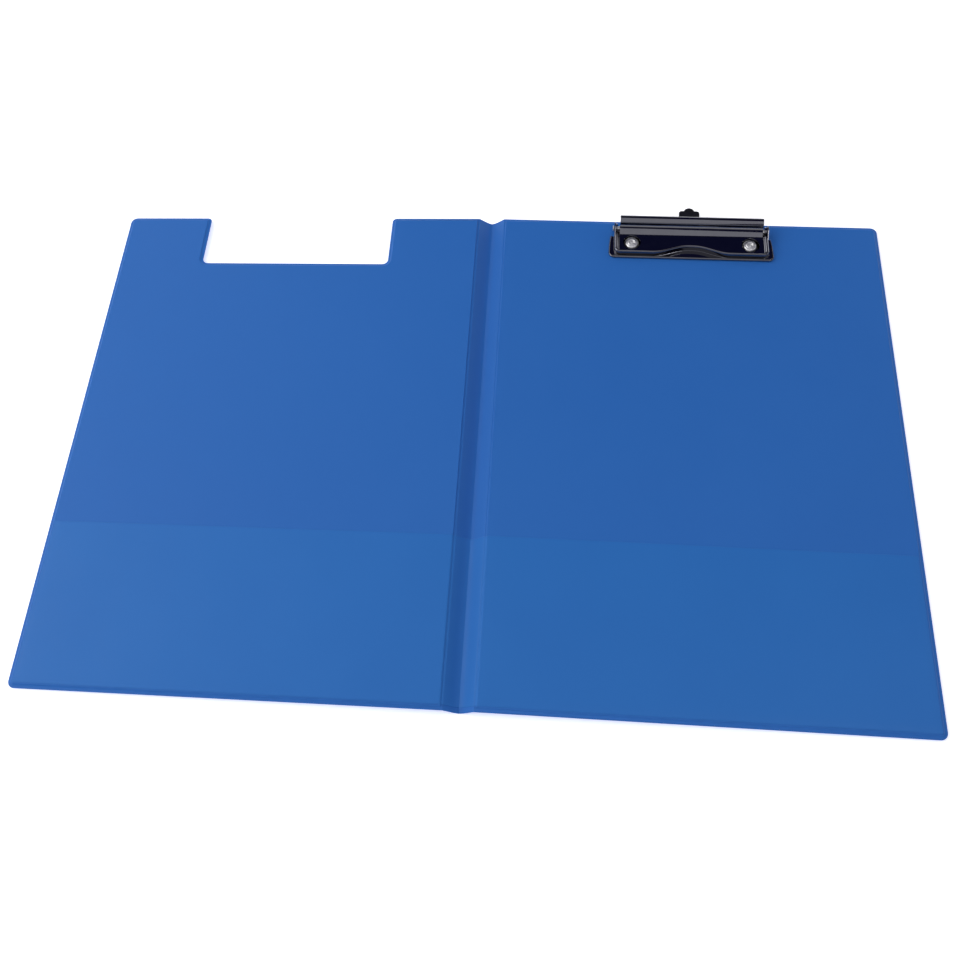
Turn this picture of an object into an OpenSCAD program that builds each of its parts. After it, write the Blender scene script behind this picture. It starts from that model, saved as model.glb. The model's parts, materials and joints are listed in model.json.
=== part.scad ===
// Fold-over clipboard for A4 paper, lying open.
// Frame: X runs across the spread (cover at -X, writing board at +X), Y runs up
// the page towards the clip, Z is up. Each panel is drawn in its own flat frame,
// with its hinge line on X = 0, and is then leant down from the spine.

/* [Panels] */
// Width of a panel, from its hinge line to its outer edge
panel_w = 236.5; // [225:0.5:245]
// Height of a panel
panel_h = 320; // [310:1:345]
// Thickness of the greyboard inside a panel
board_t = 2; // [1.5:0.1:2.4]
// Thickness of one vinyl sheet
sheet_t = 0.35; // [0.25:0.05:0.45]
// Width of the welded border round a board
seal_w = 2.5; // [2:0.1:4]
// Radius of the outer corners
corner_r = 4; // [3.5:0.1:8]

/* [Spine] */
// Distance between the two hinge lines
spine_w = 16; // [15:0.5:22]
// Height of a panel's underside above the table at the spine
inner_lift = 4.2; // [3:0.1:5]
// Clear vinyl between a hinge line and the edge of the board
hinge_land = 1.5; // [1.4:0.1:3]

/* [Clip notch in the cover] */
// Width of the notch
notch_w = 123; // [118:1:130]
// Depth of the notch from the top edge
notch_d = 37; // [34:1:45]
// Radius of the two inside corners
notch_in_r = 3.5; // [2:0.1:5]
// Radius of the two outside corners
notch_out_r = 2.8; // [2.6:0.1:4]

/* [Pockets] */
// Height of the pocket strip from the bottom edge
pocket_h = 97; // [70:1:150]
// Thickness of the pocket film
pocket_t = 0.3; // [0.2:0.05:0.4]
// Room between the pocket film and the liner
pocket_gap = 0.25; // [0.2:0.05:0.5]

/* [Clip] */
// Width of the jaw's foot
clip_w = 102; // [100:1:104]
// Distance of the jaw's lip from the top edge of the board
jaw_reach = 30; // [29.5:0.1:31]
// Height of the lever's rim over the liner
rim_h = 5.2; // [5:0.1:5.6]
// Thickness of the lever's steel
lever_t = 0.8; // [0.7:0.05:0.9]
// Thickness of the base plate's steel
base_t = 0.8; // [0.7:0.05:0.9]
// Depth of the wave pressed into the lever's front
wave_d = 5; // [3:0.1:5]
// Half the distance between the rivets
rivet_x = 37; // [36:0.5:38]
// Radius of the pivot pin
pin_r = 1.25; // [1:0.05:1.3]

/* [Hanging tab] */
// Thickness of the tab
tab_t = 1; // [0.8:0.05:1.05]
// How far the tab stands out past the top edge when it is pushed in
tab_out = 10.8; // [10:0.1:14]
// Radius of the hole for the nail
nail_r = 1.6; // [1.4:0.1:1.8]

/* [Hidden] */
$fn = 64;

panel_t = board_t + 2 * sheet_t;
tilt = asin(inner_lift / (panel_w - seal_w + sheet_t));
hinge_z = inner_lift + panel_t / 2 * cos(tilt);
y_bottom = -(panel_h + tab_out) / 2;
y_top = y_bottom + panel_h;
hinge_gap = 0.5;      // bare strip each side of a hinge line, so the bodies swing clear
panel_mid = (panel_w + hinge_land) / 2;
notch_x0 = panel_mid - notch_w / 2;
notch_x1 = panel_mid + notch_w / 2;
notch_y = y_top - notch_d;
pocket_seam = 1.5;    // width of a pocket's weld

vinyl_blue = [0.19, 0.40, 0.70];
pocket_blue = [0.21, 0.43, 0.72];
board_grey = [0.58, 0.56, 0.51];
chrome_grey = [0.62, 0.62, 0.66];
tab_black = [0.06, 0.06, 0.07];

// The clip's own frame: X along the clip, Y = 0 at the board's top edge and
// negative down the page, Z = 0 on the liner.
pivot_y = -8.8;
pivot_z = 3.2;
rivet_y = -18.9;
rivet_shank_r = 2;
rivet_head_r = 4.7;
rivet_head_h = 2.6;
washer_t = 0.4;
jaw_clear = 0.25;     // the closed jaw's height over the liner
lip_r = 0.8;
tray_front = 1.8 - jaw_reach;
tray_hw = 48.2;
tray_r = 3.2;
rim_front = 1.6;      // width of the rim along the front
rim_side = 2.6;       // width of the rim along the sides
rim_step = 1.4;       // how far the flat lies below the rim
flat_h = rim_h - rim_step;
wave_flat = 1.5;      // half width of the wave's level top
wave_hw = 24;         // half width of the whole wave
sweep_y = -15.5;      // where the flat turns up into the thumb rest
sweep_r = 6.5;
sweep_deg = 80;
rest_hw = 45;         // half width of the thumb rest
flange_deg = 45;      // slope of the thumb rest's top flange
flange_len = 3;
crease_r = 1.2;       // bend from the sweep to the flange
roll_r = 1.1;         // edge rolled down at the back
ear_r = 3;
ear_x = 46.1;         // inner face of a base plate ear
base_ear_t = 1;
lever_ear_x = tray_hw - lever_t;
hole_r = 5.5;         // lever's access holes over the rivets
hole_y = -20;
channel_hw = 6.8;     // half width of the tab's channel
channel_h = 1.2;
channel_wall = 0.8;
slot_r = 1.6;         // slot in the tab and the stop that runs in it
slot_y0 = -17.4;
slot_y1 = -2.4;
stop_r = 1.2;
stop_y = -4.2;
nail_y = 2;           // the nail's hole, past the board's top edge
tab_lift = 0.1;
tab_travel = 13.2;    // slide of the tab from pushed in to pulled out
jaw_max_deg = 35;     // the lever's full opening
spring_x = 22;
spring_wire_r = 0.4;
spring_coil_r = 1.7;
spring_pitch = 0.85;
spring_turns = 4;

// ---------- shared shapes ----------

module place_back() {
    translate([spine_w / 2, 0, hinge_z]) rotate([0, tilt, 0]) children();
}

module place_cover() {
    mirror([1, 0, 0]) place_back() children();
}

module place_clip() {
    place_back() translate([panel_mid, y_top, panel_t / 2]) children();
}

module slab(z0, z1) {
    translate([0, 0, z0]) linear_extrude(z1 - z0) children();
}

// Extrudes a profile drawn as (Y, Z) along X.
module along_x(x0, x1) {
    translate([x0, 0, 0]) rotate([90, 0, 90]) linear_extrude(x1 - x0) children();
}

module round_rect(x0, y0, x1, y1, r) {
    translate([x0 + r, y0]) square([x1 - x0 - 2 * r, y1 - y0]);
    translate([x0, y0 + r]) square([x1 - x0, y1 - y0 - 2 * r]);
    for (x = [x0 + r, x1 - r], y = [y0 + r, y1 - r]) translate([x, y]) circle(r);
}

// Fills an inside corner at the origin, towards (sx, sy).
module fillet(r, sx, sy) {
    difference() {
        translate([min(0, sx * r), min(0, sy * r)]) square(r);
        translate([sx * r, sy * r]) circle(r);
    }
}

// Outline of a panel, drawn in by s on its free sides and starting at x0 on the hinge side.
module plain_outline(s, x0) {
    r = max(corner_r - s, 0.8);
    round_rect(x0, y_bottom + s, panel_w - s, y_top - s, r);
    translate([x0, y_bottom + s]) square([r * 2, panel_h - 2 * s]);
}

module notched_outline(s, x0) {
    out_r = max(notch_out_r - s, 0.6);
    in_r = notch_in_r + s;
    low = notch_y - s;
    left = notch_x0 - s;
    right = notch_x1 + s;
    difference() {
        plain_outline(s, x0);
        translate([left, low]) square([right - left, notch_d + 1]);
        translate([left - out_r, y_top - s - out_r]) square([out_r, out_r + 1]);
        translate([right, y_top - s - out_r]) square([out_r, out_r + 1]);
    }
    translate([left, low]) fillet(in_r, 1, 1);
    translate([right, low]) fillet(in_r, -1, 1);
    for (x = [left - out_r, right + out_r]) translate([x, y_top - s - out_r]) circle(out_r);
}

module outline(s, x0, notched) {
    if (notched) notched_outline(s, x0);
    else plain_outline(s, x0);
}

module rivet_holes_2d(r) {
    for (side = [-1, 1]) translate([panel_mid + side * rivet_x, y_top + rivet_y]) circle(r);
}

// ---------- panels ----------

board_inset = seal_w + 0.05;

module board(notched) {
    slab(-board_t / 2, board_t / 2) difference() {
        outline(board_inset, hinge_land + 0.05, notched);
        if (!notched) rivet_holes_2d(rivet_shank_r + 0.1);
    }
}

// One vinyl sheet of a panel, drawn for the upper side: a face over the board,
// a wall down the board's edge, and a welded border on the mid plane.
module skin(notched) {
    wall_in = seal_w;
    wall_out = seal_w - sheet_t;
    holes_r = rivet_shank_r + 0.1;
    difference() {
        slab(board_t / 2, panel_t / 2) outline(wall_out, hinge_land - sheet_t, notched);
        if (!notched) slab(0, panel_t) rivet_holes_2d(holes_r);
    }
    slab(0, board_t / 2 + sheet_t / 2) difference() {
        outline(wall_out, hinge_land - sheet_t, notched);
        outline(wall_in, hinge_land, notched);
    }
    slab(0, sheet_t) difference() {
        outline(0, hinge_gap, notched);
        outline(wall_out + sheet_t / 2, hinge_land - sheet_t / 2, notched);
    }
}

module back_board() color(board_grey) place_back() board(false);

module cover_board() color(board_grey) place_cover() board(true);

module back_outer_sheet() color(vinyl_blue) place_back() mirror([0, 0, 1]) skin(false);

module back_liner() color(vinyl_blue) place_back() skin(false);

module cover_outer_sheet() color(vinyl_blue) place_cover() mirror([0, 0, 1]) skin(true);

module cover_liner() color(vinyl_blue) place_cover() skin(true);

// Film over the foot of a panel, welded on three sides and open at the top.
module pocket_film() {
    x0 = hinge_land;
    x1 = panel_w - seal_w - 0.5;
    y0 = y_bottom + seal_w + 0.5;
    y1 = y_bottom + pocket_h;
    film_z = panel_t / 2 + pocket_gap;
    translate([x0, y0, film_z]) cube([x1 - x0, y1 - y0, pocket_t]);
    slab(panel_t / 2, film_z + pocket_t / 2) difference() {
        translate([x0, y0]) square([x1 - x0, y1 - y0]);
        translate([x0 + pocket_seam, y0 + pocket_seam])
            square([x1 - x0 - 2 * pocket_seam, y1 - y0]);
    }
}

module back_pocket() color(pocket_blue) place_back() pocket_film();

module cover_pocket() color(pocket_blue) place_cover() pocket_film();

// ---------- spine ----------

spine_steps = 24;

// Height of the spine's mid plane at x: a smooth valley from hinge to hinge.
function valley(x) =
    sheet_t + (hinge_z - sheet_t) * (1 - cos(360 * x / spine_w)) / 2;

// A band that follows the valley, between two heights over its mid plane.
module valley_band(low, high, y0, y1) {
    x_end = spine_w / 2 - hinge_gap;
    xs = [for (i = [0 : spine_steps]) -x_end + 2 * x_end * i / spine_steps];
    upper = [for (x = xs) [x, valley(x) + high]];
    lower = [for (i = [spine_steps : -1 : 0]) [xs[i], valley(xs[i]) + low]];
    translate([0, y1, 0]) rotate([90, 0, 0]) linear_extrude(y1 - y0)
        polygon(concat(lower, upper));
}

module spine_outer_sheet() color(vinyl_blue) valley_band(-sheet_t, 0, y_bottom, y_top);

module spine_liner() color(vinyl_blue) valley_band(0, sheet_t, y_bottom, y_top);

module spine_pocket() color(pocket_blue)
    valley_band(sheet_t, sheet_t + pocket_t, y_bottom, y_bottom + pocket_h);

// ---------- clip ----------

function bump(x) =
    abs(x) <= wave_flat ? 1
    : abs(x) >= wave_hw ? 0
    : (1 + cos(180 * (abs(x) - wave_flat) / (wave_hw - wave_flat))) / 2;

// Outline of the pressed tray, drawn in from its sides and its front, back to y_back.
module tray_outline(side_in, front_in, y_back) {
    hw = tray_hw - side_in;
    front = tray_front + front_in;
    r = tray_r - min(side_in, front_in);
    wave_step = 1.5;
    right = [for (a = [0 : -7.5 : -90]) [hw - r + r * cos(a), front + r + r * sin(a)]];
    wave = [for (x = [wave_hw : -wave_step : -wave_hw]) [x, front + wave_d * bump(x)]];
    left = [for (a = [-90 : -7.5 : -180]) [-hw + r + r * cos(a), front + r + r * sin(a)]];
    polygon(concat([[-hw, y_back], [hw, y_back]], right, wave, left));
}

// Wall of the tray, one sheet thick, standing inside the outline.
module tray_wall(side_in, front_in) {
    difference() {
        tray_outline(side_in, front_in, sweep_y);
        tray_outline(side_in + lever_t, front_in + lever_t, sweep_y + 1);
    }
}

// Foot that runs round the tray's front and tapers away along its sides.
module foot_outline() {
    hw = clip_w / 2;
    front = lip_r - jaw_reach;
    back = sweep_y + 6;
    r = 2.6;
    side_r = 75;
    difference() {
        intersection() {
            union() {
                round_rect(-hw, front, hw, back, r);
                translate([-hw + r, front]) square([2 * (hw - r), r]);
            }
            translate([hw - side_r, front + r]) circle(side_r, $fn = 180);
            translate([-hw + side_r, front + r]) circle(side_r, $fn = 180);
        }
        tray_outline(lever_t, lever_t, back + 1);
    }
}

// Pressed tray: a foot, a wall, a raised rim, and a flat that lies lower than the rim.
module tray() {
    lip_hw = clip_w / 2 - 2.6;
    slab(jaw_clear, jaw_clear + lever_t) foot_outline();
    slab(jaw_clear, rim_h - lever_t / 2) tray_wall(0, 0);
    slab(rim_h - lever_t, rim_h) difference() {
        tray_outline(0, 0, sweep_y);
        tray_outline(rim_side, rim_front, sweep_y + 1);
    }
    slab(flat_h - lever_t / 2, rim_h - lever_t / 2) tray_wall(rim_side - lever_t, rim_front - lever_t);
    slab(flat_h - lever_t, flat_h) tray_outline(rim_side - lever_t, rim_front - lever_t, sweep_y);
    along_x(-lip_hw, lip_hw) translate([lip_r - jaw_reach, jaw_clear + lip_r]) circle(lip_r);
}

function direction(deg) = [cos(deg), sin(deg)];

// Part of a ring between two angles under 180 degrees apart.
module ring_sector(r_in, r_out, from_deg, to_deg) {
    far = 4 * r_out;
    mid = (from_deg + to_deg) / 2;
    intersection() {
        difference() {
            circle(r_out);
            circle(r_in);
        }
        polygon([[0, 0], far * direction(from_deg), far * direction(mid), far * direction(to_deg)]);
    }
}

// Thumb rest: a concave sweep, a crease, a sloping flange and a rolled edge.
module thumb_rest_profile() {
    top_deg = sweep_deg - 90;
    face_deg = 90 + flange_deg;
    sweep_centre = [sweep_y, flat_h + sweep_r];
    crease_centre = sweep_centre + (sweep_r + crease_r) * direction(top_deg);
    flange_from = crease_centre + crease_r * direction(face_deg);
    flange_to = flange_from + flange_len * direction(flange_deg);
    roll_centre = flange_to - roll_r * direction(face_deg);
    inward = -lever_t * direction(face_deg);
    translate(sweep_centre) ring_sector(sweep_r, sweep_r + lever_t, -90, top_deg);
    translate(crease_centre) ring_sector(crease_r - lever_t, crease_r, face_deg, top_deg + 180);
    polygon([flange_from, flange_to, flange_to + inward, flange_from + inward]);
    translate(roll_centre) ring_sector(roll_r - lever_t, roll_r, 0, face_deg);
}

// Side ear of the lever, round the pin and up beside the thumb rest.
module lever_ear_profile() {
    tip = [pivot_y - 0.4, 8];
    tip_r = 2;
    foot_y = sweep_y - 0.5;
    polygon([[foot_y, jaw_clear], [pivot_y, pivot_z - ear_r], [pivot_y + ear_r, pivot_z],
        [tip[0] + tip_r, tip[1]], [tip[0], tip[1] + tip_r], tip + tip_r * direction(135),
        [foot_y, rim_h]]);
    translate([pivot_y, pivot_z]) circle(ear_r);
    translate(tip) circle(tip_r);
}

module jaw_lever() color(chrome_grey) place_clip() difference() {
    union() {
        tray();
        along_x(-rest_hw, rest_hw) thumb_rest_profile();
        for (side = [0, 1]) mirror([side, 0, 0])
            along_x(lever_ear_x, tray_hw) lever_ear_profile();
    }
    for (side = [-1, 1]) translate([side * rivet_x, hole_y, flat_h - 2]) cylinder(r = hole_r, h = 4);
    along_x(-tray_hw - 1, tray_hw + 1) translate([pivot_y, pivot_z]) circle(pin_r + 0.08);
}

// Riveted plate with a channel for the tab and an ear at each end for the pin.
module clip_base() color(chrome_grey) place_clip() {
    back = -5;
    front = -19;
    pad_hw = 9;
    end_x = ear_x + base_ear_t;
    hump_hw = channel_hw + channel_wall;
    difference() {
        slab(0, base_t) {
            for (side = [-1, 1])
                translate([side > 0 ? hump_hw - 0.01 : -end_x, front]) square([end_x - hump_hw + 0.01, back - front]);
            for (side = [-1, 1])
                round_rect(side * rivet_x - pad_hw, rivet_y - 6, side * rivet_x + pad_hw, back - 2, 3);
        }
        for (side = [-1, 1]) translate([side * rivet_x, rivet_y, -1]) cylinder(r = rivet_shank_r + 0.05, h = 4);
    }
    difference() {
        translate([-hump_hw, front, 0]) cube([2 * hump_hw, back - front, channel_h + base_t]);
        translate([-channel_hw, front - 1, -1]) cube([2 * channel_hw, back - front + 2, channel_h + 1]);
    }
    // stop for the tab
    translate([0, stop_y - 2, 0]) {
        translate([0, 2, 0.2]) cylinder(r = stop_r, h = channel_h + base_t - 0.2);
        translate([-stop_r, -1, channel_h]) cube([2 * stop_r, 3, base_t]);
    }
    for (side = [0, 1]) mirror([side, 0, 0]) along_x(ear_x, end_x) difference() {
        union() {
            translate([pivot_y, pivot_z]) circle(ear_r);
            translate([pivot_y - ear_r, 0]) square([2 * ear_r, pivot_z]);
        }
        translate([pivot_y, pivot_z]) circle(pin_r + 0.02);
    }
}

// Semi-tubular rivet: domed head with a shallow dimple, and a flared tail under the board.
module rivet() {
    cap_r = (rivet_head_r * rivet_head_r + rivet_head_h * rivet_head_h) / (2 * rivet_head_h);
    tail_z = -panel_t - washer_t;
    difference() {
        union() {
            intersection() {
                translate([0, 0, base_t + rivet_head_h - cap_r]) sphere(cap_r);
                translate([0, 0, base_t]) cylinder(r = rivet_head_r + 1, h = rivet_head_h + 1);
            }
            translate([0, 0, tail_z]) cylinder(r = rivet_shank_r, h = base_t - tail_z + 0.1);
            translate([0, 0, tail_z - 0.5]) cylinder(r = 3.1, h = 0.5);
        }
        translate([0, 0, base_t + rivet_head_h - 0.9]) cylinder(r = 1.9, h = 2);
        translate([0, 0, tail_z - 1]) cylinder(r = 1.2, h = 3);
    }
}

module clip_rivets() color(chrome_grey) place_clip()
    for (side = [-1, 1]) translate([side * rivet_x, rivet_y, 0]) rivet();

module rivet_washers() color(chrome_grey) place_clip()
    for (side = [-1, 1]) translate([side * rivet_x, rivet_y, -panel_t - washer_t]) difference() {
        cylinder(r = 5, h = washer_t);
        translate([0, 0, -1]) cylinder(r = rivet_shank_r + 0.05, h = 3);
    }

module pivot_pin() color(chrome_grey) place_clip() {
    pin_hw = tray_hw + 0.4;
    along_x(-pin_hw, pin_hw) translate([pivot_y, pivot_z]) circle(pin_r);
    for (side = [0, 1]) mirror([side, 0, 0])
        along_x(tray_hw + 0.15, tray_hw + 0.75) translate([pivot_y, pivot_z]) circle(pin_r + 0.45);
}

// Round wire along a path that never runs along X.
module wire(path, r, sides = 7) {
    n = len(path);
    function unit(v) = v / norm(v);
    function heading(i) = unit(path[min(i + 1, n - 1)] - path[max(i - 1, 0)]);
    rings = [for (i = [0 : n - 1])
        let (t = heading(i), a = unit(cross([1, 0, 0], t)), b = cross(t, a))
        for (k = [0 : sides - 1]) path[i] + r * (cos(360 * k / sides) * a + sin(360 * k / sides) * b)];
    walls = [for (i = [0 : n - 2], k = [0 : sides - 1])
        let (next = (k + 1) % sides)
        [i * sides + k, (i + 1) * sides + k, (i + 1) * sides + next, i * sides + next]];
    start_cap = [for (k = [0 : sides - 1]) k];
    end_cap = [for (k = [sides - 1 : -1 : 0]) (n - 1) * sides + k];
    polyhedron(points = rings, faces = concat([start_cap, end_cap], walls), convexity = 6);
}

// Torsion spring: one leg on the base plate, the coil round the pin, one leg up the thumb rest.
module torsion_spring() {
    coil_from = 270;
    coil_to = 120 - 360 * spring_turns;
    steps = 16 * spring_turns + 6;
    rise = spring_pitch * (coil_from - coil_to) / 360;
    coil = [for (i = [0 : steps])
        let (a = coil_from + (coil_to - coil_from) * i / steps)
        [spring_x + rise * i / steps, pivot_y + spring_coil_r * cos(a), pivot_z + spring_coil_r * sin(a)]];
    leg_in = [[spring_x, pivot_y + 3.6, base_t + spring_wire_r + 0.02]];
    leg_out = [[spring_x + rise, pivot_y + 0.5, pivot_z + 3], [spring_x + rise, pivot_y + 1.1, pivot_z + 5.1]];
    wire(concat(leg_in, coil, leg_out), spring_wire_r);
}

module spring_right() color(chrome_grey) place_clip() torsion_spring();

module spring_left() color(chrome_grey) place_clip() mirror([1, 0, 0]) torsion_spring();

// Sliding plastic tab with a hole for a nail.
module hanging_tab() color(tab_black) place_clip() {
    stem_hw = channel_hw - 0.3;
    stem_back = -18.9;
    nose_r = 3.4;
    nose_out = 2.4;
    ridge_hw = 2.3;
    shoulder = tab_out - nose_out;
    difference() {
        union() {
            slab(tab_lift, tab_lift + tab_t) {
                round_rect(-stem_hw, stem_back, stem_hw, shoulder, 1.8);
                translate([0, tab_out - nose_r]) circle(nose_r);
            }
            // finger ridge across the tab's nose
            slab(tab_lift, tab_lift + tab_t + 0.6) round_rect(-ridge_hw, shoulder, ridge_hw, shoulder + 1.2, 0.5);
        }
        translate([0, nail_y, -1]) cylinder(r = nail_r, h = 5);
        translate([0, slot_y1, -1]) cylinder(r = slot_r, h = 5);
        translate([0, slot_y0, -1]) cylinder(r = slot_r, h = 5);
        translate([-slot_r, slot_y0, -1]) cube([2 * slot_r, slot_y1 - slot_y0, 5]);
    }
}

back_board();
back_outer_sheet();
back_liner();
back_pocket();
cover_board();
cover_outer_sheet();
cover_liner();
cover_pocket();
spine_outer_sheet();
spine_liner();
spine_pocket();
clip_base();
clip_rivets();
rivet_washers();
pivot_pin();
spring_left();
spring_right();
jaw_lever();
hanging_tab();
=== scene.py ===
import json
import math

import bmesh
import bpy
from mathutils import Matrix, Vector


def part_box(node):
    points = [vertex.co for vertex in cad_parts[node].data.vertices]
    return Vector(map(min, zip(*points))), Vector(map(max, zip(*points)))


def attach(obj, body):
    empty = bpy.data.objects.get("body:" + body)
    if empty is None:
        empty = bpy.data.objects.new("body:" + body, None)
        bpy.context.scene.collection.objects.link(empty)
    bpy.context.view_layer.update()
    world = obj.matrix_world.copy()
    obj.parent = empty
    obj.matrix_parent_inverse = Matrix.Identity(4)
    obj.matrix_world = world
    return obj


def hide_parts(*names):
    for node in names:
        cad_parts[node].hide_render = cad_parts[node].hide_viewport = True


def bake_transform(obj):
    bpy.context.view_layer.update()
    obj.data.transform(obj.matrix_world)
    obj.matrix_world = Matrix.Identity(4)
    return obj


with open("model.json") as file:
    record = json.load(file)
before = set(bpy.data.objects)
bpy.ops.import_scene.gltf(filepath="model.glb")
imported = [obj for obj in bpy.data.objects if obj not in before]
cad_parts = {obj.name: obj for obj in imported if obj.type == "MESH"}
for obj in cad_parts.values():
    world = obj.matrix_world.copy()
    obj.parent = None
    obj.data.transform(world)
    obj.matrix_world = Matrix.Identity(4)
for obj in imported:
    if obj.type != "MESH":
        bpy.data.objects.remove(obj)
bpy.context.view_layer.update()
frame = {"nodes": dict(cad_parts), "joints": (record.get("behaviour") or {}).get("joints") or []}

# ---------- places, from the frame ----------
# Panels and clip are drawn in millimetres in their own flat frames: a panel's X runs from
# its hinge line outwards, Y up the page and Z out of the writing side. The clip's origin
# is on the liner, in the middle of the board's top edge.

MM = 0.001
joints = {joint["name"]: joint for joint in frame["joints"]}
hinge = Vector(joints["spine_fold"]["pos_m"])
across = -Vector(joints["jaw_open"]["axis"])
up_page = Vector((0, 1, 0))
outward = across.cross(up_page)


def frame_matrix(origin):
    """A panel's millimetre frame at an origin, leaning as the board leans."""
    axes = Matrix((across, up_page, outward)).transposed() * MM
    return Matrix.Translation(origin) @ axes.to_4x4()


low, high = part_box("back_liner")
y_low = low.y / MM
y_high = high.y / MM
back_place = frame_matrix(Vector((hinge.x, 0, hinge.z)))
panel_w = (high.x - hinge.x) / MM / across.x
hinge_x = hinge.x / MM
hinge_z = hinge.z / MM

board_half = 1.0
sheet_t = 0.35
panel_top = board_half + sheet_t
board_start = 1.5          # the board's inner edge, from the hinge line
seal_w = 2.5
pocket_inset = seal_w + 0.5      # the pocket film starts just inside the weld

pivot = back_place.inverted() @ Vector(joints["jaw_open"]["pos_m"])
clip_x = pivot.x
pivot_y = pivot.y - y_high
pivot_z = pivot.z - panel_top
clip_place = back_place @ Matrix.Translation((clip_x, y_high, panel_top))

notch_hw = 61.5
notch_depth = 37.0
pocket_low, pocket_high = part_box("back_pocket")
pocket_top = y_low + (pocket_high.y - pocket_low.y) / MM + pocket_inset


# ---------- shader maths ----------

class Signal:
    """A socket in a material's node tree. Arithmetic on it adds Math nodes."""

    def __init__(self, tree, socket=None):
        self.tree = tree
        self.socket = socket

    def feed(self, target, value):
        if isinstance(value, Signal):
            self.tree.links.new(value.socket, target)
        else:
            target.default_value = value

    def node(self, kind, settings=None, inputs=None, out=0):
        """Adds any node: its settings first, then values or links for its sockets."""
        made = self.tree.nodes.new(kind)
        for key, value in (settings or {}).items():
            if key == "stops":
                ramp = made.color_ramp
                while len(ramp.elements) < len(value):
                    ramp.elements.new(0.5)
                for element, (position, grey) in zip(ramp.elements, value):
                    element.position = position
                    element.color = (grey, grey, grey, 1)
            else:
                setattr(made, key, value)
        for key, value in (inputs or {}).items():
            self.feed(made.inputs[key], value)
        return Signal(self.tree, made.outputs[out] if made.outputs else None)

    def math(self, operation, first, second=0.0):
        return self.node("ShaderNodeMath", {"operation": operation}, {0: first, 1: second})

    def __add__(self, other):
        return self.math("ADD", self, other)

    def __radd__(self, other):
        return self.math("ADD", other, self)

    def __sub__(self, other):
        return self.math("SUBTRACT", self, other)

    def __rsub__(self, other):
        return self.math("SUBTRACT", other, self)

    def __mul__(self, other):
        return self.math("MULTIPLY", self, other)

    def __rmul__(self, other):
        return self.math("MULTIPLY", other, self)


def noise(s, scale, detail=2.0, stretch=(1, 1, 1)):
    """Noise over the piece, in waves of about one over scale metres."""
    place = s.node("ShaderNodeTexCoord", out="Object")
    mapped = s.node("ShaderNodeMapping", inputs={"Vector": place, "Scale": stretch})
    return s.node("ShaderNodeTexNoise", inputs={
        "Vector": mapped, "Scale": scale, "Detail": detail, "Roughness": 0.5})


def blend_colours(s, amount, first, second):
    return s.node("ShaderNodeMix", {"data_type": "RGBA"}, {
        0: amount, 6: (*first, 1), 7: (*second, 1)}, out=2)


def ramp(s, value, stops):
    return s.node("ShaderNodeValToRGB", {"stops": stops}, {"Fac": value})


def finished(name, build, fixed):
    """A material whose varying sockets come from build and whose fixed ones are plain values."""
    material = bpy.data.materials.new(name)
    material.use_nodes = True
    tree = material.node_tree
    tree.nodes.clear()
    s = Signal(tree)
    varying = build(s)
    if "height" in varying:
        height = varying.pop("height")
        varying["Normal"] = s.node("ShaderNodeBump", inputs={
            "Strength": 1.0, "Distance": varying.pop("depth"), "Height": height})
    shader = s.node("ShaderNodeBsdfPrincipled", inputs={**fixed, **varying})
    s.node("ShaderNodeOutputMaterial", inputs={"Surface": shader})
    return material


def vinyl_surface(s):
    """Pressed PVC sheet: fine grain, slow waves from the weld's pull, faint rubbed patches."""
    grain = noise(s, 2200, 3)
    waves = noise(s, 16, 1)
    rub = noise(s, 60, 4)
    tone = blend_colours(s, noise(s, 9, 2) * 0.6 + rub * 0.3, VINYL_DEEP, VINYL_LIGHT)
    return {
        "Base Color": tone,
        "Roughness": 0.40 + rub * 0.12 + grain * 0.05,
        "height": grain * 0.012 + waves,
        "depth": 0.0006,
    }


def film_surface(s):
    """Smoother pocket film, a little clearer than the sheet under it."""
    waves = noise(s, 22, 2, (1, 0.5, 1))
    grain = noise(s, 3000, 2)
    tone = blend_colours(s, noise(s, 14, 2), FILM_DEEP, FILM_LIGHT)
    return {
        "Base Color": tone,
        "Roughness": 0.36 + noise(s, 90, 3) * 0.12,
        "height": waves + grain * 0.012,
        "depth": 0.0006,
    }


def chrome_surface(s):
    """Plated steel: near mirror, with faint polishing lines along the clip and hazy spots."""
    lines = noise(s, 900, 3, (0.04, 1, 1))
    haze = noise(s, 140, 4)
    return {
        "Base Color": blend_colours(s, haze, (0.150, 0.150, 0.170), (0.185, 0.185, 0.200)),
        "Roughness": 0.06 + ramp(s, haze, ((0.45, 0), (0.8, 1))) * 0.10 + lines * 0.03,
        "height": lines * 0.2 + noise(s, 70, 1),
        "depth": 0.00004,
    }


def nickel_surface(s):
    """Tumbled nickel plate on the rivets, washers and pin."""
    haze = noise(s, 500, 4)
    return {
        "Base Color": blend_colours(s, haze, (0.70, 0.69, 0.68), (0.80, 0.79, 0.77)),
        "Roughness": 0.30 + haze * 0.12,
        "height": haze,
        "depth": 0.00004,
    }


def spring_surface(s):
    """Drawn wire with a dark oiled skin."""
    lines = noise(s, 2500, 2, (0.2, 1, 1))
    return {
        "Base Color": blend_colours(s, lines, (0.30, 0.29, 0.28), (0.48, 0.47, 0.46)),
        "Roughness": 0.28 + lines * 0.2,
        "height": lines,
        "depth": 0.00002,
    }


def tab_surface(s):
    """Black moulding with a faint sparked texture."""
    spark = noise(s, 2600, 3)
    return {
        "Base Color": blend_colours(s, noise(s, 200, 3), (0.006, 0.006, 0.007), (0.014, 0.014, 0.016)),
        "Roughness": 0.26 + spark * 0.12,
        "height": spark,
        "depth": 0.00003,
    }


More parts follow.
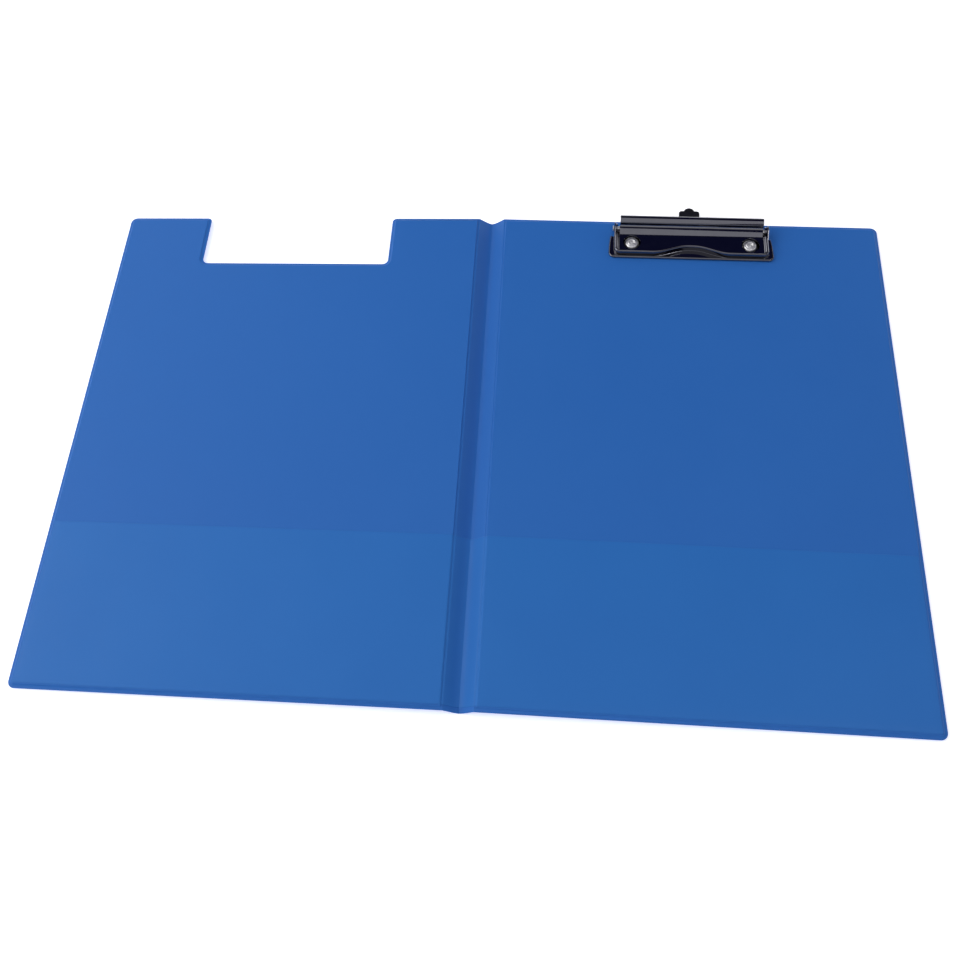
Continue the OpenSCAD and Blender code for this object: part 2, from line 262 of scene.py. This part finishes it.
def greyboard_surface(s):
    """Pulp board: flecks and fibres."""
    fibres = noise(s, 900, 5, (0.3, 1, 1))
    flecks = ramp(s, noise(s, 1600, 2), ((0.62, 0), (0.68, 1)))
    return {
        "Base Color": blend_colours(s, fibres * 0.7 + flecks * 0.3,
                                    (0.33, 0.31, 0.27), (0.20, 0.19, 0.17)),
        "Roughness": 0.86 + fibres * 0.1,
        "height": fibres,
        "depth": 0.00006,
    }


def table_surface(s):
    """Plain pale floor."""
    fleck = noise(s, 30, 2)
    return {
        "Base Color": blend_colours(s, fleck, (0.93, 0.93, 0.93), (0.95, 0.95, 0.95)),
        "Roughness": 0.8 + fleck * 0.05,
    }


VINYL_DEEP = (0.027, 0.157, 0.525)
VINYL_LIGHT = (0.032, 0.176, 0.562)
FILM_DEEP = (0.026, 0.172, 0.542)
FILM_LIGHT = (0.031, 0.192, 0.580)

vinyl = finished("blue_vinyl", vinyl_surface, {"IOR": 1.5, "Specular IOR Level": 0.2})
film = finished("pocket_film", film_surface, {"IOR": 1.5, "Specular IOR Level": 0.2})
chrome = finished("chrome_plate", chrome_surface, {"Metallic": 1.0})
nickel = finished("nickel_plate", nickel_surface, {"Metallic": 1.0})
spring_wire = finished("spring_wire", spring_surface, {"Metallic": 1.0})
tab_plastic = finished("black_moulding", tab_surface, {"IOR": 1.5})
greyboard = finished("greyboard", greyboard_surface, {"IOR": 1.45})
table_top = finished("pale_floor", table_surface, {
    "IOR": 1.3, "Emission Color": (1, 1, 1, 1), "Emission Strength": 0.55})


# ---------- making pieces ----------

def new_piece(bm, name, material, smooth_deg=40):
    """Turns a bmesh, already in metres and in place, into an object."""
    mesh = bpy.data.meshes.new(name)
    bm.to_mesh(mesh)
    bm.free()
    mesh.shade_smooth()
    mesh.set_sharp_from_angle(angle=math.radians(smooth_deg))
    mesh.materials.append(material)
    piece = bpy.data.objects.new(name, mesh)
    bpy.context.scene.collection.objects.link(piece)
    return piece


def solid_sheet(piece, thickness):
    """Gives an open sheet its thickness, inwards from the drawn surface."""
    wall = piece.modifiers.new("thickness", "SOLIDIFY")
    wall.thickness = thickness
    wall.offset = -1
    wall.use_even_offset = False


def soft_edges(piece, width):
    edge = piece.modifiers.new("edges", "BEVEL")
    edge.width = width
    edge.segments = 2
    edge.profile = 0.5
    edge.limit_method = "ANGLE"
    edge.angle_limit = math.radians(35)
    edge.harden_normals = False


def even_shading(piece):
    """Lets a piece's large faces set the shading, so that they stay flat."""
    shading = piece.modifiers.new("shading", "WEIGHTED_NORMAL")
    shading.keep_sharp = True


def face_towards(bm, direction):
    """Turns an open sheet so that its largest face looks along a direction."""
    bmesh.ops.recalc_face_normals(bm, faces=bm.faces)
    largest = max(bm.faces, key=lambda face: face.calc_area())
    if largest.normal.dot(direction) < 0:
        bmesh.ops.reverse_faces(bm, faces=bm.faces)


def smoothed_copy(node, name, material, body, width):
    """A CAD node's shape with its flat faces joined and its edges broken."""
    bm = bmesh.new()
    bm.from_mesh(frame["nodes"][node].data)
    bmesh.ops.remove_doubles(bm, verts=bm.verts, dist=1e-6)
    bmesh.ops.dissolve_limit(bm, angle_limit=math.radians(0.4), verts=bm.verts, edges=bm.edges)
    piece = new_piece(bm, name, material)
    soft_edges(piece, width * MM)
    even_shading(piece)
    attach(piece, body)
    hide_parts(node)


# ---------- vinyl ----------

def valley(x):
    """Height of the spine's mid plane at a distance from the spine's centre line."""
    roundness = 0.06
    share = math.sqrt((min(x, hinge_x) / hinge_x) ** 2 + roundness) - math.sqrt(roundness)
    return sheet_t + (hinge_z - sheet_t) * share / (math.sqrt(1 + roundness) - math.sqrt(roundness))


# From a panel's edge inwards, as steps of (inwards, up): the rounded edge, the weld, and
# the slope up over the board to a last level step.
WELD_STEPS = (
    (0.05, 0.15), (0.12, 0.14), (0.20, 0.06), (0.28, 0.00), (0.32, 0.06), (0.50, 0.12), (0.30, 0.18),
    (0.20, 0.22), (0.15, 0.18), (0.15, 0.12), (0.15, 0.08), (0.15, 0.04), (0.14, 0.00),
)
WELD_LAND = 0.5            # how far in from the edge the weld lies level
TRIM_X = 0.5
SPINE_STEPS = (8.2, 7.9, 7.6, 7.3, 7.0, 6.5, 6.0, 5.4, 4.8, 4.2, 3.6, 3.0, 2.4, 1.8, 1.2, 0.6, 0.0)


def round_corners(bm, corners, radius):
    bmesh.ops.bevel(bm, geom=corners, offset=radius, offset_type="OFFSET", segments=8,
                    profile=0.5, affect="VERTICES", material=-1, clamp_overlap=True)


def vinyl_sheet(name, side, upper, nodes):
    """One sheet of a panel with its half of the spine: border, shoulder, face and valley.
    The cover, on side -1, has the notch for the clip."""
    bm = bmesh.new()
    inner_x = TRIM_X - WELD_LAND
    outline = [(inner_x, y_low), (panel_w, y_low), (panel_w, y_high)]
    if side < 0:
        outline += [(clip_x + notch_hw, y_high), (clip_x + notch_hw, y_high - notch_depth),
                    (clip_x - notch_hw, y_high - notch_depth), (clip_x - notch_hw, y_high)]
    outline.append((inner_x, y_high))
    corners = [bm.verts.new((x, y, 0)) for x, y in outline]
    bm.faces.new(corners)
    round_corners(bm, corners[1:3], 4.0)
    if side < 0:
        round_corners(bm, [corners[3], corners[6]], 2.8)
        round_corners(bm, corners[4:6], 3.5)
    bm.faces.ensure_lookup_table()
    face = bm.faces[0]
    if face.normal.z < 0:
        face.normal_flip()
    for inwards, rise in WELD_STEPS:
        bmesh.ops.inset_region(bm, faces=[face], thickness=inwards, depth=rise,
                               use_boundary=True, use_even_offset=True)
    everything = bm.verts[:] + bm.edges[:] + bm.faces[:]
    bmesh.ops.bisect_plane(bm, geom=everything, plane_co=(TRIM_X, 0, 0), plane_no=(1, 0, 0),
                           clear_inner=True, dist=1e-5)
    open_edges = [e for e in bm.edges if e.is_boundary
                  and all(abs(v.co.x - TRIM_X) < 1e-3 for v in e.verts)]
    slope_end = inner_x + sum(inwards for inwards, rise in WELD_STEPS)
    squeeze = (board_start + 0.1 - TRIM_X) / (slope_end - TRIM_X)
    for v in bm.verts:
        if TRIM_X < v.co.x < slope_end + 0.01:
            v.co.x = TRIM_X + (v.co.x - TRIM_X) * squeeze
    if not upper:
        bmesh.ops.scale(bm, vec=(1, 1, -1), verts=bm.verts)
    bmesh.ops.transform(bm, matrix=back_place, verts=bm.verts)
    at = hinge_x + TRIM_X
    for x in SPINE_STEPS:
        made = bmesh.ops.extrude_edge_only(bm, edges=open_edges)["geom"]
        moved = [part for part in made if isinstance(part, bmesh.types.BMVert)]
        open_edges = [part for part in made if isinstance(part, bmesh.types.BMEdge)]
        bmesh.ops.translate(bm, verts=moved, vec=Vector((x - at, 0, valley(x) - valley(at))) * MM)
        at = x
    for v in moved:
        v.co.x = 0
    if side < 0:
        bmesh.ops.scale(bm, vec=(-1, 1, 1), verts=bm.verts)
    face_towards(bm, Vector((0, 0, 1 if upper else -1)))
    piece = new_piece(bm, name, vinyl, 50)
    solid_sheet(piece, 0.3 * MM)
    even_shading(piece)
    bend_over_hinge(piece)
    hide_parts(*nodes)


def bend_over_hinge(piece):
    """Bakes the piece's placement into its mesh; nothing here bends it over the hinge or ties it to the
    spine or the panel.
    """
    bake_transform(piece)


def ease(t):
    t = max(0.0, min(1.0, t))
    return t * t * (3 - 2 * t)


def over_liner(distance, y, height):
    """A point over the inner vinyl, at a distance from the spine's centre line."""
    if distance <= hinge_x:
        return Vector((distance, y, valley(distance) + sheet_t + height)) * MM
    x = distance - hinge_x
    shoulder = board_half * ease((x - 0.75) / 0.9)
    return back_place @ Vector((x, y, sheet_t + shoulder + height))


def pocket(name, side, nodes):
    """Pocket film welded down its outer side and foot, loose along its top edge."""
    film_t = 0.2
    foot = y_low + pocket_inset
    outer = hinge_x + panel_w - pocket_inset
    columns = [0.0, 1.2, 2.4, 3.6, 4.8, 6.0, 7.0, 7.4, 7.8, 8.2, 8.6, 9.0, 9.4, 9.8, 10.6, 12.5, 16.0]
    columns += [16 + (outer - 20) * i / 24 for i in range(1, 25)]
    columns += [outer - 2.6, outer - 1.9, outer - 1.5, outer - 0.2, outer]
    rows = [foot, foot + 0.2, foot + 1.5, foot + 1.9, foot + 2.6, foot + 6]
    rows += [foot + 6 + (pocket_top - foot - 8) * i / 10 for i in range(1, 11)]
    rows += [pocket_top - 0.6, pocket_top - 0.15, pocket_top]
    bm = bmesh.new()
    bmesh.ops.create_grid(bm, x_segments=len(columns) - 1, y_segments=len(rows) - 1, size=1)
    for v in bm.verts:
        distance = columns[round((v.co.x + 1) / 2 * (len(columns) - 1))]
        y = rows[round((v.co.y + 1) / 2 * (len(rows) - 1))]
        loose = ease((outer - distance - 1.4) / 1.6) * ease((y - foot - 1.4) / 1.6)
        loose *= ease((distance - hinge_x - 2.5) / 6)
        edge = -0.08 if y == pocket_top or distance == outer or y == foot else 0
        v.co = over_liner(distance, y, film_t + 0.12 * loose + edge)
        v.co.x *= side
    face_towards(bm, Vector((0, 0, 1)))
    piece = new_piece(bm, name, film, 50)
    solid_sheet(piece, 0.1 * MM)
    even_shading(piece)
    bend_over_hinge(piece)
    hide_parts(*nodes)


vinyl_sheet("back_inner_vinyl", 1, True, ["back_liner", "spine_liner"])
vinyl_sheet("back_outer_vinyl", 1, False,
            ["back_outer_sheet", "spine_outer_sheet"])
vinyl_sheet("cover_inner_vinyl", -1, True, ["cover_liner", "spine_liner"])
vinyl_sheet("cover_outer_vinyl", -1, False,
            ["cover_outer_sheet", "spine_outer_sheet"])
pocket("back_pocket_film", 1, ["back_pocket", "spine_pocket"])
pocket("cover_pocket_film", -1, ["cover_pocket", "spine_pocket"])

for node_name in ("back_board", "cover_board"):
    board = frame["nodes"][node_name]
    board.data.materials.clear()
    board.data.materials.append(greyboard)


# ---------- clip: the formed lever ----------

steel_t = 0.8
foot_hw = 51.0
tray_hw = 48.2
tray_front = -28.2
tray_r = 3.2
lip_y = -29.2
lip_root_z = 1.05          # the lip is lower down the sides than along the front
strip_back = -13.5
sweep_y = -15.5
flat_z = 3.8
sweep_r = 6.5
rest_hw = 45.0
hole_y = -20.0
rivet_x = 37.0
rivet_y = -18.9
window_r = 5.5             # the hole in the tray over each rivet
foot_corner_r = 2.6
rim_side_w = 2.6
rim_front_w = 1.6
wave_flat_hw = 1.5
wave_hw = 24.0
wave_depth = 5.0


def wave(x):
    """How far the tray's front steps back at x, under the middle of the clip."""
    t = (abs(x) - wave_flat_hw) / (wave_hw - wave_flat_hw)
    return wave_depth * (1 + math.cos(math.pi * max(0.0, min(1.0, t)))) / 2


def lever_stations():
    """Round the tray from its left back to its right back: (wall point, foot point, outwards)."""
    half = []
    side_r = 75.0
    corner_y = lip_y + foot_corner_r
    tray_corner_y = tray_front + tray_r
    for y in (strip_back, -14.5, sweep_y, -17.0, -19.0, -21.0, -23.0):
        bow = side_r - math.sqrt(side_r ** 2 - (y - corner_y) ** 2)
        half.append(((-tray_hw, y), (-(foot_hw - bow), y), (-1.0, 0.0)))
    for i in range(9):
        turn = math.radians(180 + 90 * i / 8)
        c, s = math.cos(turn), math.sin(turn)
        half.append(((-tray_hw + tray_r + tray_r * c, tray_corner_y + tray_r * s),
                     (-foot_hw + foot_corner_r * (1 + c), corner_y + foot_corner_r * s), (c, s)))
    front_hw = tray_hw - tray_r
    foot_scale = (foot_hw - foot_corner_r) / front_hw
    straight = [-front_hw + 6 * i for i in range(1, 4)]
    waved = [-wave_hw + 1.5 * i for i in range(17)]
    for x in straight + waved:
        half.append(((x, tray_front + wave(x)), (x * foot_scale, lip_y), (0.0, -1.0)))
    mirrored = [((-w[0], w[1]), (-f[0], f[1]), (-n[0], n[1])) for w, f, n in reversed(half[:-1])]
    return half + mirrored


# Rings from the lip inwards. The first set stands on the foot's edge, as (outwards, up);
# the second on the tray's wall, as (share of the rim's width inwards, up).
LIP_RINGS = ((0.35, 0.45), (0.72, 0.75), (0.80, 1.05), (0.69, 1.45), (0.35, 1.77), (0.0, 1.85),
             (-0.40, 1.72), (-0.66, 1.40), (-0.85, 1.12))
WALL_RINGS = ((-0.22, 1.05), (-0.05, 1.18), (0.0, 1.45), (0.0, 3.90), (0.03, 4.35), (0.12, 4.75),
              (0.26, 5.04), (0.45, 5.20), (0.62, 5.12), (0.78, 4.88), (0.90, 4.55), (1.0, 4.20),
              (1.1, 3.95), (1.25, 3.80))


def ring(bm, points):
    """A chain of edges through points, as an open edge loop."""
    verts = [bm.verts.new(p) for p in points]
    return [bm.edges.new(pair) for pair in zip(verts, verts[1:])]


def formed_tray(bm):
    """The lever's foot, lip, wall, raised rim and flat."""
    stations = lever_stations()
    rings = []
    for out, height in LIP_RINGS:
        rings.append(ring(bm, [
            (f[0] + out * n[0] * 0.45, f[1] + out * n[1],
             lip_root_z + (height - lip_root_z) * (0.8 + 0.2 * abs(n[1])))
            for w, f, n in stations]))
    for share, height in WALL_RINGS:
        rings.append(ring(bm, [
            (w[0] - share * rim_side_w * n[0], w[1] - share * rim_front_w * n[1], height)
            for w, f, n in stations]))
    for first, second in zip(rings, rings[1:]):
        bmesh.ops.bridge_loops(bm, edges=first + second)
    inner = rings[-1]
    flat_edges = [e for e in inner if max(v.co.y for v in e.verts) <= sweep_y + 1e-4]
    ends = [v for e in flat_edges for v in e.verts if abs(v.co.y - sweep_y) < 1e-4]
    left = min(ends, key=lambda v: v.co.x)
    right = max(ends, key=lambda v: v.co.x)
    rest_left = bm.verts.new((-rest_hw + 0.3, sweep_y, flat_z))
    rest_right = bm.verts.new((rest_hw - 0.3, sweep_y, flat_z))
    back_edge = bm.edges.new((rest_left, rest_right))
    closing = [bm.edges.new((left, rest_left)), back_edge, bm.edges.new((rest_right, right))]
    bmesh.ops.contextual_create(bm, geom=flat_edges + closing)
    return back_edge


def turn_edge(bm, edge, centre, degrees, steps):
    made = bmesh.ops.spin(bm, geom=edge.verts[:] + [edge], cent=(0, *centre), axis=(1, 0, 0),
                          dvec=(0, 0, 0), angle=math.radians(degrees), steps=steps,
                          use_merge=False, use_duplicate=False)
    return next(part for part in made["geom_last"] if isinstance(part, bmesh.types.BMEdge))


def polar(degrees):
    return Vector((math.cos(math.radians(degrees)), math.sin(math.radians(degrees))))


def thumb_rest(bm, edge):
    """From the flat's back edge: the sweep up, the crease, the sloping flange, the rolled edge."""
    crease_r, flange_len, roll_r = 1.2, 1.1, 2.8
    centre = Vector((sweep_y, flat_z + sweep_r))
    edge = turn_edge(bm, edge, centre, 80, 16)
    crease = centre + (sweep_r + crease_r) * polar(-10)
    edge = turn_edge(bm, edge, crease, -35, 6)
    made = bmesh.ops.extrude_edge_only(bm, edges=[edge])["geom"]
    step = flange_len * polar(45)
    bmesh.ops.translate(bm, vec=(0, *step), verts=[p for p in made if isinstance(p, bmesh.types.BMVert)])
    edge = next(p for p in made if isinstance(p, bmesh.types.BMEdge)
                and all(v in made for v in p.verts))
    flange_to = crease + crease_r * polar(135) + step
    turn_edge(bm, edge, flange_to - roll_r * polar(135), -135, 10)


def lever_ear(side):
    """A plate at the lever's end, round the pin and up beside the thumb rest."""
    bm = bmesh.new()
    profile = [(-16.2, 0.45), (-9.6, 0.25), (-5.8, 1.4), (-5.9, 4.6),
               (-7.0, 7.2), (-9.6, 7.8), (-16.2, 4.7)]
    verts = [bm.verts.new((side * (tray_hw - steel_t), y, z)) for y, z in profile]
    bm.faces.new(verts)
    round_corners(bm, verts[1:6], 1.2)
    made = bmesh.ops.extrude_face_region(bm, geom=bm.faces[:])["geom"]
    bmesh.ops.translate(bm, vec=(side * steel_t, 0, 0),
                        verts=[p for p in made if isinstance(p, bmesh.types.BMVert)])
    bmesh.ops.recalc_face_normals(bm, faces=bm.faces)
    bmesh.ops.transform(bm, matrix=clip_place, verts=bm.verts)
    piece = new_piece(bm, "ear", chrome)
    soft_edges(piece, 0.2 * MM)
    return piece


def rivet_window(side):
    """Cutter for the hole in the tray over a rivet."""
    bm = bmesh.new()
    bmesh.ops.create_cone(bm, cap_ends=True, segments=64, radius1=window_r, radius2=window_r, depth=6)
    bmesh.ops.translate(bm, vec=(side * rivet_x, hole_y, flat_z), verts=bm.verts)
    bmesh.ops.transform(bm, matrix=clip_place, verts=bm.verts)
    return new_piece(bm, "cutter", chrome)


def evaluated_mesh(piece):
    depsgraph = bpy.context.evaluated_depsgraph_get()
    return bpy.data.meshes.new_from_object(piece.evaluated_get(depsgraph))


def jaw_lever():
    bm = bmesh.new()
    thumb_rest(bm, formed_tray(bm))
    bmesh.ops.remove_doubles(bm, verts=bm.verts, dist=1e-4)
    bmesh.ops.transform(bm, matrix=clip_place, verts=bm.verts)
    face_towards(bm, Vector((0, 0, 1)))
    tray = new_piece(bm, "tray", chrome, 60)
    solid_sheet(tray, steel_t * MM)
    cutters = [rivet_window(side) for side in (-1, 1)]
    for cutter in cutters:
        cut = tray.modifiers.new("window", "BOOLEAN")
        cut.operation = "DIFFERENCE"
        cut.object = cutter
        cut.solver = "EXACT"
    ears = [lever_ear(side) for side in (-1, 1)]
    joined = bmesh.new()
    parts = [tray] + ears
    for part in parts:
        joined.from_mesh(evaluated_mesh(part))
    for part in parts + cutters:
        bpy.data.objects.remove(part)
    piece = new_piece(joined, "formed_jaw_lever", chrome, 38)
    even_shading(piece)
    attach(piece, "jaw")
    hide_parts("jaw_lever")


jaw_lever()

# ---------- clip: rivets, springs and the rest ----------

# Half section of a rivet, from the middle of its head to the middle of its tail, as (radius, height).
RIVET_SECTION = (
    (0.0, 2.42), (0.45, 2.38), (0.8, 2.22), (1.05, 2.08), (1.35, 2.14), (1.6, 2.5), (1.8, 2.86),
    (2.05, 2.98), (2.35, 2.94), (2.6, 2.76), (2.78, 2.56), (2.95, 2.54), (3.15, 2.6), (3.5, 2.46),
    (3.9, 2.18), (4.3, 1.76), (4.58, 1.32), (4.7, 1.0), (4.66, 0.84), (4.5, 0.8), (2.0, 0.8),
    (2.0, -3.1), (3.0, -3.14), (3.1, -3.3), (2.9, -3.52), (2.2, -3.6), (1.4, -3.56), (1.2, -3.3),
    (1.2, -1.2), (0.0, -1.1),
)


def rivets():
    bm = bmesh.new()
    for side in (-1, 1):
        centre = Vector((side * rivet_x, rivet_y, 0))
        section = ring(bm, [centre + Vector((r, 0, z)) for r, z in RIVET_SECTION])
        verts = list({v for e in section for v in e.verts})
        bmesh.ops.spin(bm, geom=verts + section, cent=centre, axis=(0, 0, 1), dvec=(0, 0, 0),
                       angle=math.tau, steps=48, use_merge=True, use_duplicate=False)
    bmesh.ops.remove_doubles(bm, verts=bm.verts, dist=1e-4)
    bmesh.ops.recalc_face_normals(bm, faces=bm.faces)
    bmesh.ops.transform(bm, matrix=clip_place, verts=bm.verts)
    piece = new_piece(bm, "headed_rivets", nickel, 50)
    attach(piece, "back_panel")
    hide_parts("clip_rivets")


WIRE_R = 0.4
COIL_R = 1.7
COIL_PITCH = 0.85


def wire_coil(bm, x, start_deg, turn_deg):
    """Round wire wound about the pin, from a bearing round it, as the spring is wound."""
    steps = max(4, round(28 * turn_deg / 360))
    disc = bmesh.ops.create_circle(bm, segments=12, radius=WIRE_R, cap_ends=True)["verts"]
    bmesh.ops.translate(bm, verts=disc, vec=(x, pivot_y + COIL_R, pivot_z))
    bmesh.ops.rotate(bm, verts=disc, cent=(x, pivot_y, pivot_z),
                     matrix=Matrix.Rotation(math.radians(start_deg), 3, "X"))
    edges = {e for v in disc for e in v.link_edges}
    faces = {f for v in disc for f in v.link_faces}
    spun = disc + list(edges) + list(faces)
    bmesh.ops.spin(bm, geom=spun, cent=(x, pivot_y, pivot_z), axis=(1, 0, 0),
                   dvec=(COIL_PITCH * turn_deg / 360 / steps, 0, 0), angle=-math.radians(turn_deg),
                   steps=steps, use_merge=False, use_duplicate=False)


def wire_leg(bm, x, bearing_deg, head):
    """A straight end of the wire, from a bearing on the coil to a point (y, z)."""
    foot = Vector((x, pivot_y, pivot_z)) + COIL_R * Vector((0, *polar(bearing_deg)))
    run = Vector((x, *head)) - foot
    leg = bmesh.ops.create_cone(bm, cap_ends=True, segments=12, radius1=WIRE_R, radius2=WIRE_R,
                                depth=run.length)["verts"]
    turn = Vector((0, 0, 1)).rotation_difference(run).to_matrix()
    bmesh.ops.rotate(bm, verts=leg, cent=(0, 0, 0), matrix=turn)
    bmesh.ops.translate(bm, verts=leg, vec=foot + run / 2)


def spring_wire_piece(bm, name, side, node, body):
    bmesh.ops.recalc_face_normals(bm, faces=bm.faces)
    if side < 0:
        bmesh.ops.scale(bm, vec=(-1, 1, 1), verts=bm.verts)
        bmesh.ops.reverse_faces(bm, faces=bm.faces)
    bmesh.ops.transform(bm, matrix=clip_place, verts=bm.verts)
    piece = new_piece(bm, name, spring_wire, 60)
    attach(piece, body)
    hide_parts(node)


def torsion_spring(hand, side, node):
    """Four turns round the pin with a leg on the base plate, and the end that the lever carries.
    The lever's end has part of a turn, which slides round the coil as the jaw opens."""
    coil_x = 22.0
    wound_deg = 360 * 4 + 150
    carried_deg = 50
    end_x = coil_x + COIL_PITCH * wound_deg / 360
    fixed = bmesh.new()
    wire_coil(fixed, coil_x, -90, wound_deg)
    wire_leg(fixed, coil_x, -90, (pivot_y + 3.6, 1.24))
    spring_wire_piece(fixed, hand + "_torsion_spring", side, node, "back_panel")
    moving = bmesh.new()
    wire_coil(moving, end_x - COIL_PITCH * carried_deg / 360, 120 + carried_deg, carried_deg)
    wire_leg(moving, end_x, 120, (pivot_y + 1.1, pivot_z + 5.1))
    spring_wire_piece(moving, hand + "_spring_end", side, node, "jaw")


rivets()
torsion_spring("left", -1, "spring_left")
torsion_spring("right", 1, "spring_right")
smoothed_copy("clip_base", "riveted_base_plate", chrome, "back_panel", 0.15)
smoothed_copy("rivet_washers", "under_washers", nickel, "back_panel", 0.08)
smoothed_copy("pivot_pin", "headed_pin", nickel, "back_panel", 0.15)
smoothed_copy("hanging_tab", "moulded_tab", tab_plastic, "tab", 0.28)


# ---------- floor, light and camera ----------

def floor():
    bm = bmesh.new()
    bmesh.ops.create_grid(bm, x_segments=1, y_segments=1, size=6)
    bmesh.ops.translate(bm, verts=bm.verts, vec=(0, 0, -0.0002))
    piece = new_piece(bm, "floor", table_top)


def soft_light(name, place, aim, size, power):
    lamp = bpy.data.lights.new(name, "AREA")
    lamp.shape = "RECTANGLE"
    lamp.size, lamp.size_y = size
    lamp.energy = power
    lit = bpy.data.objects.new(name, lamp)
    bpy.context.scene.collection.objects.link(lit)
    lit.location = place
    lit.rotation_mode = "QUATERNION"
    lit.rotation_quaternion = (Vector(aim) - Vector(place)).to_track_quat("-Z", "Y")


floor()
soft_light("left_key", (-1.2, 0.05, 0.95), (-0.05, 0, 0), (1.3, 1.0), 10.2)
soft_light("overhead", (-0.35, -0.35, 1.6), (-0.15, 0, 0), (2.8, 2.1), 13.4)
soft_light("right_fill", (1.2, 0.2, 0.9), (0.1, 0.0, 0), (0.8, 0.8), 1.4)
soft_light("wave_glint", (0.8, -0.12, 1.55), (0.127, 0.14, 0), (0.3, 0.3), 1.6)
soft_light("left_rim", (-0.71, 1.0, 0.7), (0.1, 0.1, 0), (0.5, 0.5), 1.6)
soft_light("right_rim", (1.04, 1.0, 0.63), (0.1, 0.1, 0), (0.5, 0.5), 1.6)


def studio_wall(tree):
    """Pale round the horizon and nearly dark overhead, so that the chrome stays deep."""
    tree.nodes.clear()
    s = Signal(tree)
    direction = s.node("ShaderNodeTexCoord", out="Object")
    height = s.node("ShaderNodeSeparateXYZ", inputs={0: direction}, out=2)
    wall = ramp(s, height, ((0.12, 1), (0.32, 0)))
    light = s.node("ShaderNodeBackground", inputs={
        "Color": blend_colours(s, wall, (0.016, 0.018, 0.07), (0.9, 0.9, 0.9))})
    s.node("ShaderNodeOutputWorld", inputs={"Surface": light})


studio = bpy.data.worlds.new("studio")
studio.use_nodes = True
studio_wall(studio.node_tree)
bpy.context.scene.world = studio
bpy.context.scene.view_settings.view_transform = "Standard"


def stand_camera():
    """Stands over the foot of the spread, a little right of the spine, looking down and back."""
    elevation, azimuth, roll = map(math.radians, (61.7, 11.21, -8.08))
    back = Vector((math.sin(azimuth) * math.cos(elevation),
                   -math.cos(azimuth) * math.cos(elevation), math.sin(elevation)))
    level = Vector((math.cos(azimuth), math.sin(azimuth), 0))
    raised = back.cross(level)
    right = level * math.cos(roll) + raised * math.sin(roll)
    top = raised * math.cos(roll) - level * math.sin(roll)
    lens = bpy.data.cameras.new("camera")
    lens.sensor_width = 36
    lens.lens = 39.8
    lens.shift_x = 0.026
    lens.shift_y = -0.052
    lens.clip_start = 0.01
    camera = bpy.data.objects.new("camera", lens)
    bpy.context.scene.collection.objects.link(camera)
    turn = Matrix((right, top, back)).transposed().to_4x4()
    camera.matrix_world = Matrix.Translation((0.0442, -0.2915, 0.5534)) @ turn
    bpy.context.scene.camera = camera


stand_camera()
